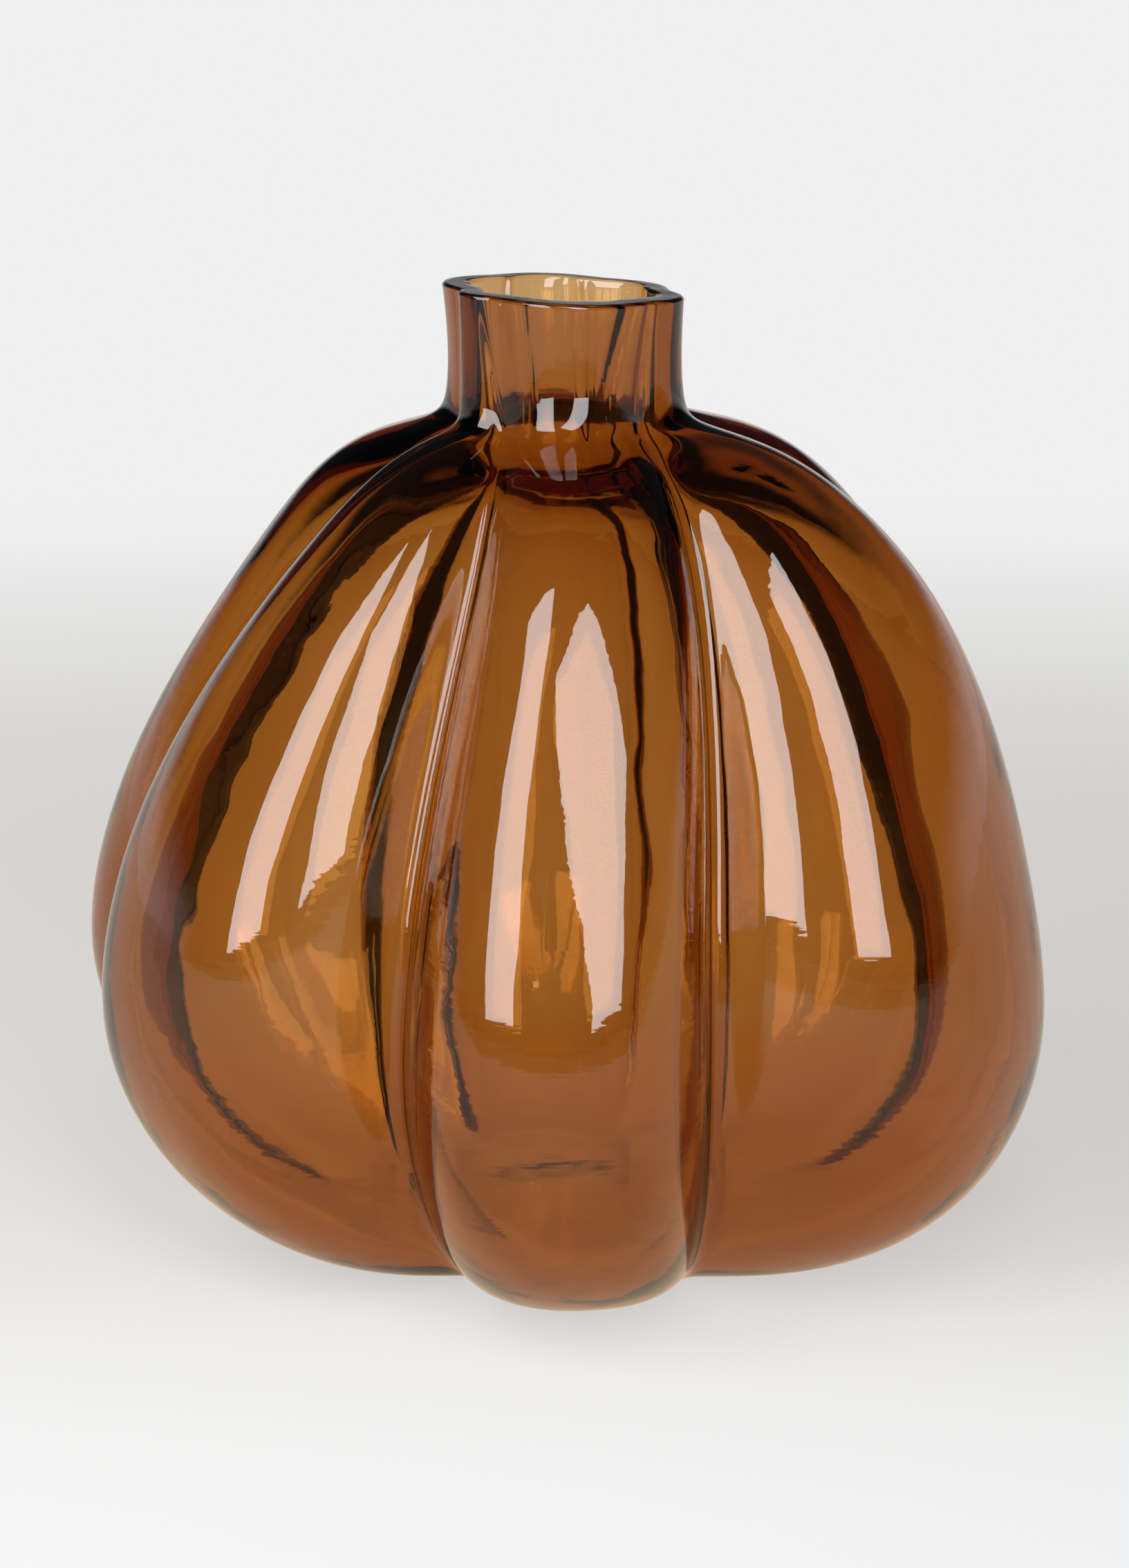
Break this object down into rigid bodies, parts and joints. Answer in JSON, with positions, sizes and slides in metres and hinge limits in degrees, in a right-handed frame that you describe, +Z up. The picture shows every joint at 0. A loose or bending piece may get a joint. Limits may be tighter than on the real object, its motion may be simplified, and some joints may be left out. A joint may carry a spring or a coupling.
{
  "type": "gourd vase",
  "caption": "Free-standing thick glass vase shaped like a lobed gourd, with a short narrow neck, a flat ground rim and a hollow body for water and stems.",
  "frame": {"origin": "middle of the body's footprint, on the surface that the vase stands on; the neck stands 2.2 mm to the right of it", "axes": "+Z up; -Y is the side with the front lobe in the picture, +X is to its right"},
  "size_m": [0.2012, 0.2037, 0.2012],
  "materials": {
    "amber_glass": "clear blown glass of a warm amber brown, fire-polished outside and in, with faint ripples and fine seeds; the rim is cut and ground flat"
  },
  "bodies": {
    "root": {"glass_body": "amber_glass"}
  },
  "joints": []
}
